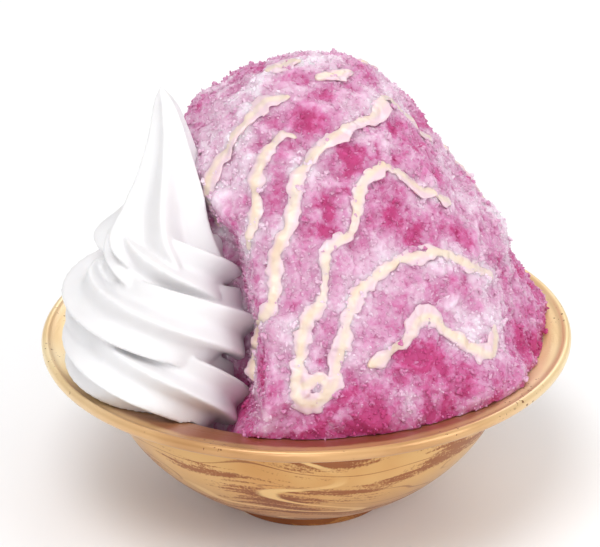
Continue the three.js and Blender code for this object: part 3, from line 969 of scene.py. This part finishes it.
def make_run(run, number, surface, swirl_skin):
    """One flat ragged run of cream on the ice, as far as the swirl, and its middle line."""
    route, even = drizzle_route(run)
    middles = heap_points(route)
    for i, (middle, way) in enumerate(zip(middles, route)):
        outside = middle + way * 9
        hit = surface.ray_cast(Vector(outside * MM), Vector(-way))[0]
        if hit is not None:
            middles[i] = np.array(hit) / MM
    clear = np.array([outside_of(swirl_skin, middle) for middle in middles])
    free = clear > DRIZZLE["from_swirl"]
    middles, even = middles[free], even[free]
    depth = np.linalg.norm(middles - HEAP_CENTRE, axis=1)
    window = np.hanning(7)
    padded = np.pad(depth, 3, mode="edge")
    calm = np.convolve(padded, window / window.sum(), mode="valid")
    out = (middles - HEAP_CENTRE) / depth[:, None]
    middles = HEAP_CENTRE + out * (calm + DRIZZLE["lift"])[:, None]
    ahead = np.gradient(middles, axis=0)
    ahead /= np.linalg.norm(ahead, axis=1)[:, None]
    side = np.cross(ahead, out)
    side /= np.linalg.norm(side, axis=1)[:, None]
    key = np.zeros((len(even), 3))
    key[:, 0] = even / DRIZZLE["swells_every"]
    key[:, 1] = number * 3.7
    swell = 0.70 + 0.60 * soft_noise(key) + 0.30 * (soft_noise(key * 2.7) - 0.5)
    ends = np.minimum(even - even[0], even[-1] - even)
    swell *= 0.25 + 0.75 * np.sqrt(np.clip(ends / DRIZZLE["taper"], 0, 1))
    for right, elevation, reach in CREAM_POOLS:
        pool = heap_points(direction(right, elevation)[None])[0]
        swell *= 1 + 0.8 * np.exp(-(np.linalg.norm(middles - pool, axis=1) / reach) ** 2)
    turn = np.arange(DRIZZLE["sides"]) * 2 * np.pi / DRIZZLE["sides"]
    ragged = []
    for shift in (11, 17):
        uneven = 0.55 * (soft_noise(key * 4 + (0, shift, 0)) - 0.5)
        uneven = uneven + 0.65 * (soft_noise(key * 2 + (shift, 0, 0)) - 0.5)
        ragged.append(0.80 + uneven / np.maximum(1, swell))
    across = np.cos(turn)[None]
    across = np.where(across > 0, ragged[0][:, None], ragged[1][:, None]) * across
    wide = DRIZZLE["wide"] * swell[:, None] * across * 1.25
    high = DRIZZLE["high"] * (0.5 + 0.5 * np.minimum(swell, 1.2)[:, None]) * np.sin(turn)[None]
    rows = middles[:, None] + side[:, None] * wide[..., None] + out[:, None] * high[..., None]
    return closed_skin("run", rows, middles[0], middles[-1]), middles


def make_drizzle(ice, swirl):
    """The whole drizzle, and its middle lines for the paler ice beside it."""
    depsgraph = bpy.context.evaluated_depsgraph_get()
    surface = BVHTree.FromObject(ice, depsgraph)
    swirl_skin = BVHTree.FromObject(swirl, depsgraph)
    made = [make_run(run, number, surface, swirl_skin) for number, run in enumerate(DRIZZLE_RUNS)]
    drizzle = one_skin("cream_drizzle", [part for part, _ in made], *DRIZZLE_SKIN)
    points = points_of(drizzle)
    uneven = 0.7 * (soft_noise(points / 1.7 + (2, 2, 7)) - 0.5)
    uneven = uneven + 0.5 * (soft_noise(points / 3.8) - 0.5)
    move_points(drizzle, points + normals_of(drizzle) * uneven[:, None])
    lines = np.concatenate([line for _, line in made])
    cream = KDTree(len(lines))
    for i, place in enumerate(lines):
        cream.insert(place, i)
    cream.balance()
    store(drizzle, "edge", smooth_step(0.7, 2.1, away_from(cream, points)))
    return drizzle, cream


# ---------------------------------------------------------------- loose ice


def bare_ice(ice, covers):
    """1 where the ice shows, and 0 in the bowl and nearer to each cover than its margin."""
    points = points_of(ice)
    bare = (points[:, 2] > brim_height(BRIM["inner"])).astype(float)
    bare *= points[:, 2] > floor_height(points)[0] + CLEARANCE["bowl"]
    depsgraph = bpy.context.evaluated_depsgraph_get()
    for cover, margin in covers:
        tree = BVHTree.FromObject(cover, depsgraph)
        low = points_of(cover).min(axis=0) - 1
        high = points_of(cover).max(axis=0) + 1
        near = np.flatnonzero(np.all((points > low) & (points < high), axis=1) & (bare > 0))
        for i in near:
            if outside_of(tree, points[i]) < margin:
                bare[i] = 0
    return bare


def grain_shape(name, seed, stretch, round_one):
    """One uneven grain of ice, round or with five sides, about a millimetre across."""
    dice = np.random.default_rng(seed)
    grain = bmesh.new()
    if round_one:
        bmesh.ops.create_icosphere(grain, subdivisions=1, radius=0.5 * MM)
    else:
        bmesh.ops.create_cone(
            grain, segments=5, radius1=0.5 * MM, radius2=0.32 * MM, depth=0.7 * MM, cap_ends=True,
        )
    for corner in grain.verts:
        corner.co = Vector(np.array(corner.co) * stretch * dice.uniform(0.72, 1.28, 3))
    bmesh.ops.triangulate(grain, faces=grain.faces)
    return shell_object(name, grain)


def clump_shape(name, seed, grains):
    """A few uneven grains frozen together, about a millimetre across."""
    dice = np.random.default_rng(seed)
    clump = bmesh.new()
    for _ in range(grains):
        middle = dice.normal(0, 0.24, 3) * (1, 1, 0.6)
        size = dice.uniform(0.2, 0.36)
        made = bmesh.ops.create_icosphere(clump, subdivisions=1, radius=1)
        for corner in made["verts"]:
            uneven = np.array(corner.co) * size * dice.uniform(0.7, 1.3, 3)
            corner.co = Vector((middle + uneven) * MM)
    return shell_object(name, clump)


def shaving_shape(name, seed):
    """One thin curled shaving of ice: three corners in section, bent in the middle."""
    dice = np.random.default_rng(seed)
    rows = []
    for along_it, wide in ((-1.0, 0.18), (0.0, 0.42), (1.0, 0.12)):
        lift = -0.32 * along_it ** 2
        section = np.array(((-wide, 0.05), (wide, 0.02), (0.1 * wide, -0.14)))
        section = section + dice.uniform(-0.05, 0.05, section.shape)
        rows.append([(along_it, x, z + lift) for x, z in section])
    rows = np.array(rows)
    shape = closed_skin(name, rows, rows[0].mean(axis=0), rows[-1].mean(axis=0))
    shape.data.shade_flat()
    face_outwards(shape)
    return shape


def scatter_tree(name):
    """Scatters one shape over the bare ice, each turned and sized its own way."""
    tree = bpy.data.node_groups.new(name, "GeometryNodeTree")
    face = tree.interface
    face.new_socket("Geometry", in_out="INPUT", socket_type="NodeSocketGeometry")
    for label in ("Spacing", "Density", "Smallest", "Largest", "Lift", "Tilt"):
        face.new_socket(label, in_out="INPUT", socket_type="NodeSocketFloat")
    for label, kind in (("Grain", "Object"), ("Seed", "Int"), ("Material", "Material")):
        face.new_socket(label, in_out="INPUT", socket_type="NodeSocket" + kind)
    face.new_socket("Geometry", in_out="OUTPUT", socket_type="NodeSocketGeometry")
    nodes = Nodes(tree)
    given = nodes.add("NodeGroupInput").outputs

    def random_value(salt, inputs, kind="FLOAT"):
        return nodes.add("FunctionNodeRandomValue", {
            **inputs, "Seed": nodes.plus(given["Seed"], salt),
        }, data_type=kind).outputs["Value"]

    bare = nodes.add("GeometryNodeInputNamedAttribute", {"Name": "bare"}, data_type="FLOAT")
    spots = nodes.add("GeometryNodeDistributePointsOnFaces", {
        "Mesh": given["Geometry"], "Distance Min": given["Spacing"], "Density Max": given["Density"],
        "Density Factor": bare.outputs["Attribute"], "Seed": given["Seed"],
    }, distribute_method="POISSON")
    lift = random_value(1.0, {"Min": -0.4, "Max": 1.0})
    shift = nodes.add("ShaderNodeVectorMath", {
        0: spots.outputs["Normal"], "Scale": nodes.times(lift, given["Lift"]),
    }, operation="SCALE").outputs["Vector"]
    lifted = nodes.add("GeometryNodeSetPosition", {
        "Geometry": spots.outputs["Points"], "Offset": shift,
    })
    tinted = nodes.add("GeometryNodeStoreNamedAttribute", {
        "Geometry": lifted.outputs["Geometry"], "Name": "shade", "Value": random_value(2.0, {}),
    }, data_type="FLOAT", domain="POINT")
    grain = nodes.add("GeometryNodeObjectInfo", {"Object": given["Grain"]}, transform_space="ORIGINAL")
    uneven = nodes.math("POWER", random_value(3.0, {"Min": 0.0, "Max": 1.0}), 1.6)
    spread = nodes.math("SUBTRACT", given["Largest"], given["Smallest"])
    scale = nodes.plus(given["Smallest"], nodes.times(uneven, spread))
    back = nodes.times(given["Tilt"], -1.0)
    least, most = (
        nodes.add("ShaderNodeCombineXYZ", {"X": tilt, "Y": tilt, "Z": turn}).outputs["Vector"]
        for tilt, turn in ((back, 0.0), (given["Tilt"], math.tau))
    )
    facing = random_value(4.0, {0: least, 1: most}, "FLOAT_VECTOR")
    turned = nodes.add("FunctionNodeRotateRotation", {
        "Rotation": spots.outputs["Rotation"], "Rotate By": facing,
    }, rotation_space="LOCAL").outputs["Rotation"]
    placed = nodes.add("GeometryNodeInstanceOnPoints", {
        "Points": tinted.outputs["Geometry"], "Instance": grain.outputs["Geometry"],
        "Rotation": turned, "Scale": scale,
    })
    real = nodes.add("GeometryNodeRealizeInstances", {"Geometry": placed.outputs["Instances"]})
    finished = nodes.add("GeometryNodeSetMaterial", {
        "Geometry": real.outputs["Geometry"], "Material": given["Material"],
    })
    nodes.add("NodeGroupOutput", {"Geometry": finished.outputs["Geometry"]})
    return tree


# Each kind of loose ice: its frost, the seed, the spacing, the smallest and the largest
# size, how far the grains stand off the heap, and how far they tilt, in degrees.
LOOSE_ICE = (
    ("ice_clumps", "plain", 5, 4.0, 1.4, 2.9, -0.3, 180),
    ("ice_crumbs", "plain", 11, 2.0, 0.6, 1.4, 0.15, 180),
    ("ice_grains", "frosty", 23, 1.9, 0.4, 0.9, 0.3, 180),
    ("ice_shavings", "frosty", 37, 2.4, 0.5, 1.2, 0.4, 60),
)


def scatter(ice, tree, shape, material, kind):
    """Loose ice of one kind over the heap, as one plain mesh. Each grain keeps the syrup
    and the depth of the place where it lies."""
    name, _, seed, spacing, smallest, largest, lift, tilt = kind
    ground = in_scene(name + "_ground", ice.data.copy())
    spread = ground.modifiers.new("loose ice", "NODES")
    spread.node_group = tree
    values = {
        "Grain": shape, "Spacing": spacing * MM, "Density": CROWDING / (spacing * MM) ** 2,
        "Smallest": smallest, "Largest": largest, "Lift": lift * MM, "Tilt": math.radians(tilt),
        "Seed": seed, "Material": material,
    }
    for socket in tree.interface.items_tree:
        if socket.in_out == "INPUT" and socket.name in values:
            spread[socket.identifier] = values[socket.name]
    loose = baked(ground, name)
    bpy.data.objects.remove(shape)
    return loose


# ---------------------------------------------------------------- materials


# Colours as they show on a screen. The syrup's run from frosted ice to soaked ice.
SYRUP_TONES = (
    (0.00, (237, 225, 234)),
    (0.24, (227, 202, 218)),
    (0.48, (214, 173, 197)),
    (0.68, (205, 141, 178)),
    (0.85, (197, 103, 152)),
    (1.00, (186, 68, 124)),
)
CREAM_TONES = (
    (0.34, (225, 200, 197)),
    (0.50, (227, 207, 190)),
    (0.66, (224, 198, 175)),
)
CREAM_EDGE = (223, 191, 204)
SOFT_SERVE_TONES = ((225, 223, 224), (231, 230, 231))
FLOOR_TONES = ((244, 244, 245), (247, 247, 248))
GLAZE = {
    "brown": ((132, 68, 28), (154, 90, 40)),
    "gold": ((202, 148, 82), (216, 172, 108)),
    "low gold": (184, 124, 62),
    "stroke": (230, 190, 126),
    "inside": ((240, 208, 152), (248, 226, 180)),
    # The inside towards the front, darker: painted shade and reflection.
    "shaded front inside": ((168, 112, 60), (196, 142, 84)),
    "speck": (126, 80, 48),
    # The brim beside the ice at the front: painted shade and reflection of the ice.
    "ice_tint": (154, 84, 54),
    "line": (132, 80, 44),
}
# The frost that each kind of ice has on its grains, from least to most.
FROST = {"packed": (0.0, 0.0), "plain": (-0.03, 0.12), "frosty": (0.0, 0.24)}


def syrup_group():
    """The colour of syruped ice, from pale lilac to deep magenta."""
    group, nodes, given, out = new_group(
        "Syruped ice colour",
        (("Syrup", "NodeSocketFloat", 0.5), ("Depth", "NodeSocketFloat", 0.0),
         ("Frost", "NodeSocketFloat", 0.0)),
        (("Color", "NodeSocketColor"),),
    )
    place = nodes.place()
    flakes = nodes.plus(nodes.flakes(place, 420, 0.1), nodes.flakes(place, 900, 0.5))
    soaked = given.outputs["Syrup"]
    for more in (
        nodes.swing(nodes.noise(place, 260, 4, 0.6), 0.55),
        nodes.times(given.outputs["Depth"], 0.30),
        nodes.swing(nodes.noise(place, 900, 3, 0.6), 0.22),
        nodes.swing(flakes, 0.13, 1.0),
    ):
        soaked = nodes.plus(soaked, more)
    soaked = nodes.math("SUBTRACT", soaked, given.outputs["Frost"], clamp=True)
    feed(nodes, out, Color=nodes.ramp(soaked, SYRUP_TONES))
    return group


def ice_material(name, group, frost, glow):
    """Shaved ice: syrup colour, light passing through it, and a fine uneven surface."""
    material, shader, nodes = new_material(
        name, Subsurface_Weight=glow, Subsurface_Scale=0.005, IOR=1.31,
        Subsurface_Radius=(1.0, 0.7, 0.9),
    )
    ice_tint = nodes.add("ShaderNodeGroup", node_tree=group)
    feed(
        nodes, ice_tint,
        Syrup=nodes.stored("syrup"),
        Depth=nodes.stored("depth"),
        Frost=nodes.between(nodes.stored("shade"), 0.0, 1.0, *frost),
    )
    fine = nodes.noise(nodes.place(), 1500, 3, 0.65)
    feed(
        nodes, shader,
        Base_Color=ice_tint.outputs["Color"],
        Roughness=nodes.between(fine, 0.35, 0.65, 0.5, 0.8),
        Normal=nodes.bump(fine, 0.25, 0.0005),
    )
    return material


def brushed_group():
    """Where the gold glaze lies: broad swept fields with grainy edges, and thin strokes."""
    group, nodes, given, out = new_group(
        "Swept glaze",
        (("Sweep", "NodeSocketVector", None),),
        tuple((label, "NodeSocketFloat") for label in ("Gold", "Stroke", "Scratch", "Speck")),
    )
    place = nodes.place()
    sweep = given.outputs["Sweep"]
    sway = nodes.swing(nodes.noise(sweep, 11, 1), 0.03)
    rise = nodes.add("ShaderNodeCombineXYZ", {"Z": sway}).outputs["Vector"]
    bent = nodes.add("ShaderNodeVectorMath", {0: sweep, 1: rise}, operation="ADD").outputs["Vector"]

    def swept(stretch, scale, detail, start):
        flat = nodes.add("ShaderNodeMapping", {
            "Vector": bent, "Location": (start, 0.0, start), "Scale": (1.0, 1.0, stretch),
        }).outputs["Vector"]
        return nodes.noise(flat, scale, detail)

    grain = nodes.swing(nodes.noise(place, 1300, 2), 0.20)
    hairs = nodes.swing(swept(7.0, 110, 2, 0.3), 0.16)
    field = nodes.plus(swept(9.0, 12, 1, 0.0), nodes.plus(grain, hairs))
    field = nodes.plus(field, nodes.swing(swept(26.0, 30, 2, 0.9), 0.4))
    side = nodes.add("ShaderNodeSeparateXYZ", {"Vector": sweep}).outputs["X"]
    field = nodes.plus(field, nodes.times(side, 0.6))

    def strokes(stretch, scale, start, thin, thick):
        away = nodes.math("ABSOLUTE", nodes.math("SUBTRACT", swept(stretch, scale, 0, start), 0.5))
        kept = nodes.between(swept(3.0, 16, 1, start + 0.5), 0.44, 0.54)
        rough = nodes.plus(away, nodes.times(grain, 0.05))
        return nodes.times(nodes.between(rough, thin, thick, 1.0, 0.0), kept)

    dots = nodes.between(nodes.noise(place, 800, 1), 0.66, 0.72)
    crowd = nodes.between(nodes.noise(place, 55, 2), 0.50, 0.62)
    feed(
        nodes, out,
        Gold=nodes.between(field, 0.43, 0.53),
        Stroke=strokes(8.0, 10, 0.7, 0.008, 0.022),
        Scratch=strokes(11.0, 13, 2.3, 0.004, 0.016),
        Speck=nodes.times(dots, crowd),
    )
    return group


def bowl_material():
    """Gold glaze swept over brown outside, plain gold with brown specks inside, with shade and the
    ice's reflection painted on the inside towards the front.
    """
    material, shader, nodes = new_material("gold-brown glaze", Coat_Weight=0.15, Coat_Roughness=0.12)
    inside = nodes.stored("inside")
    swept = nodes.add("ShaderNodeGroup", node_tree=brushed_group())
    feed(nodes, swept, Sweep=nodes.stored("sweep", "Vector"))
    painted = swept.outputs
    place = nodes.place()
    split = nodes.add("ShaderNodeSeparateXYZ", {"Vector": place}).outputs
    squares = [nodes.times(split[axis], split[axis]) for axis in "XY"]
    level = nodes.math("SQRT", nodes.plus(*squares))
    front = nodes.between(split["Y"], -0.080, -0.02, 1.0, 0.0)
    cloud = nodes.between(nodes.noise(place, 28, 2), 0.35, 0.65)

    def clouded(name):
        return nodes.mix(cloud, *(colour(*tone) for tone in GLAZE[name]))

    def laid_on(under, name, share):
        return nodes.mix(share, under, colour(*GLAZE[name]))

    brown = clouded("brown")
    high = nodes.between(split["Z"], 0.004, 0.034)
    gold = nodes.mix(high, colour(*GLAZE["low gold"]), clouded("gold"))
    gold = nodes.mix(nodes.times(painted["Scratch"], 0.8), gold, brown)
    outer = laid_on(nodes.mix(painted["Gold"], brown, gold), "stroke", painted["Stroke"])
    # Painted shade and reflection: the inside and the lip are darker and browner towards the front.
    front_shade = nodes.times(front, 0.85)
    inner = nodes.mix(front_shade, clouded("inside"), clouded("shaded front inside"))
    inner = laid_on(inner, "speck", painted["Speck"])
    # Painted shade and reflection of the pink ice: the brim is darker and redder right beside the ice,
    # at the front only.
    near_ice = nodes.between(level, 0.074, 0.0815, 1.0, 0.0)
    uneven = nodes.swing(nodes.noise(place, 70, 4, 0.6), 1.2)
    tint_share = nodes.between(nodes.plus(near_ice, uneven), 0.1, 0.6)
    tint_share = nodes.times(tint_share, front)
    inner = laid_on(inner, "ice_tint", nodes.times(tint_share, inside))
    whole = nodes.mix(inside, outer, inner)
    covered = nodes.math("MAXIMUM", nodes.math("MAXIMUM", painted["Gold"], inside), painted["Stroke"])
    feed(
        nodes, shader,
        # Dark lines under and inside the lip: painted groove shade, also the glaze breaking there.
        Base_Color=laid_on(whole, "line", nodes.times(nodes.stored("lines"), 0.75)),
        Metallic=nodes.between(inside, 0.0, 1.0, 0.2, 0.3),
        Roughness=nodes.between(covered, 0.0, 1.0, 0.42, 0.30),
        Normal=nodes.bump(painted["Gold"], 0.10, 0.0004),
    )
    return material


def soft_serve_material():
    """Matt soft serve, with faint clouds and a fine grain."""
    material, shader, nodes = new_material(
        "soft serve", Subsurface_Weight=0.12, Subsurface_Scale=0.004,
        Subsurface_Radius=(1.0, 0.85, 0.7), Coat_Weight=0.12, Coat_Roughness=0.3,
    )
    place = nodes.place()
    cloud = nodes.noise(place, 45, 3, 0.5)
    tones = [colour(*tone) for tone in SOFT_SERVE_TONES]
    feed(
        nodes, shader,
        Base_Color=nodes.mix(nodes.between(cloud, 0.3, 0.7), *tones),
        Roughness=nodes.between(cloud, 0.3, 0.7, 0.34, 0.44),
        Normal=nodes.bump(nodes.noise(place, 700, 3, 0.6), 0.08, 0.0005),
    )
    return material


def drizzle_material():
    """Thick cream with a soft gloss, stained by the syrup at its edges."""
    material, shader, nodes = new_material(
        "condensed cream", Subsurface_Weight=0.3, Subsurface_Scale=0.003,
        Subsurface_Radius=(1.0, 0.8, 0.55), Coat_Weight=0.25, Coat_Roughness=0.15,
    )
    place = nodes.place()
    cloud = nodes.noise(place, 120, 3, 0.55)
    tint_share = nodes.times(nodes.stored("edge"), 0.85)
    feed(
        nodes, shader,
        Base_Color=nodes.mix(tint_share, nodes.ramp(cloud, CREAM_TONES), colour(*CREAM_EDGE)),
        Roughness=nodes.between(cloud, 0.3, 0.7, 0.28, 0.40),
        Normal=nodes.bump(nodes.noise(place, 500, 2, 0.5), 0.10, 0.0005),
    )
    return material


def floor_material():
    """The floor's matt and almost even white."""
    material, shader, nodes = new_material("plain floor", Roughness=0.8)
    tones = [colour(*tone) for tone in FLOOR_TONES]
    feed(nodes, shader, Base_Color=nodes.mix(nodes.noise(nodes.place(), 3), *tones))
    return material


# ---------------------------------------------------------------- camera and light


def set_camera():
    """A long lens, aimed from above level, with its distance taken from the lip's middle."""
    slope = math.radians(CAMERA["above_level"])
    away = CAMERA["away"]
    aim = Vector(CAMERA["aim"]) * MM
    place = Vector((0, -away * math.cos(slope), BOWL_HEIGHT + away * math.sin(slope))) * MM
    ahead = (aim - place).normalized()
    right = ahead.cross(Vector((0, 0, 1))).normalized()
    above = right.cross(ahead)
    facing = Matrix((right, above, -ahead)).transposed().to_4x4()
    lens = bpy.data.cameras.new("camera")
    lens.sensor_width = CAMERA["sensor"]
    lens.lens = CAMERA["focal_length"] / PICTURE_WIDTH * CAMERA["sensor"]
    camera = in_scene("camera", lens)
    roll = Matrix.Rotation(math.radians(CAMERA["roll"]), 4, "Z")
    camera.matrix_world = Matrix.Translation(place) @ facing @ roll
    bpy.context.scene.camera = camera


def set_light():
    """A studio that is brighter overhead, and four softboxes."""
    world = bpy.data.worlds.new("studio")
    world.use_nodes = True
    nodes = Nodes(world.node_tree)
    way = nodes.add("ShaderNodeTexCoord").outputs["Generated"]
    up = nodes.add("ShaderNodeSeparateXYZ", {"Vector": way}).outputs["Z"]
    backdrop = world.node_tree.nodes["Background"]
    backdrop.inputs["Color"].default_value = (1.0, 1.0, 1.0, 1.0)
    feed(nodes, backdrop, Strength=nodes.between(up, 0.0, 0.95, SKY["level"], SKY["overhead"]))
    bpy.context.scene.world = world
    bpy.context.scene.view_settings.view_transform = "Standard"
    for name, place, aim_height, size, power in SOFTBOXES:
        light = bpy.data.lights.new(name, "AREA")
        light.shape = "SQUARE"
        light.size = size
        light.energy = power
        lamp = in_scene(name, light)
        lamp.location = place
        facing = Vector((0, 0, aim_height)) - Vector(place)
        lamp.rotation_euler = facing.to_track_quat("-Z", "Y").to_euler()


def make_floor():
    """The plain pale floor that the bowl stands on."""
    bpy.ops.mesh.primitive_plane_add(size=6)
    floor = bpy.context.object
    floor.name = "floor"
    floor.data.materials.append(floor_material())


# ---------------------------------------------------------------- the whole


def add_piece(piece, slot, *nodes):
    """The piece rides with the root and stands for CAD nodes. The slot is not used."""
    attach(piece, "root")
    if nodes:
        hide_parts(*nodes)


set_camera()
set_light()
make_floor()

bowl = make_bowl()
bowl.data.materials.append(bowl_material())
add_piece(bowl, "bowl_glaze", "bowl")

ice = make_ice()
swirl = make_swirl()
drizzle, cream = make_drizzle(ice, swirl)
store(ice, "syrup", syrup_at(points_of(ice), cream))

syrup_colour = syrup_group()
finishes = {
    "packed": ice_material("packed ice", syrup_colour, FROST["packed"], 0.9),
    "plain": ice_material("loose ice", syrup_colour, FROST["plain"], 0.0),
    "frosty": ice_material("frosty ice", syrup_colour, FROST["frosty"], 0.0),
}
ice.data.materials.append(finishes["packed"])
covers = ((swirl, CLEARANCE["swirl"]), (drizzle, CLEARANCE["drizzle"]))
store(ice, "bare", bare_ice(ice, covers))
scattering = scatter_tree("Loose ice over the heap")
shapes = (
    clump_shape("clump", 2, 7),
    grain_shape("crumb", 3, (1, 0.85, 0.7), True),
    grain_shape("grain", 5, (1, 1, 0.8), False),
    shaving_shape("shaving", 7),
)
loose = [
    scatter(ice, scattering, shape, finishes[kind[1]], kind)
    for shape, kind in zip(shapes, LOOSE_ICE)
]

swirl.data.materials.append(soft_serve_material())
drizzle.data.materials.append(drizzle_material())
add_piece(ice, "syruped_ice", "shaved_ice")
for piece in loose:
    add_piece(piece, "syruped_ice")
add_piece(drizzle, "soft_serve_cream")
add_piece(swirl, "soft_serve_cream", "soft_serve")
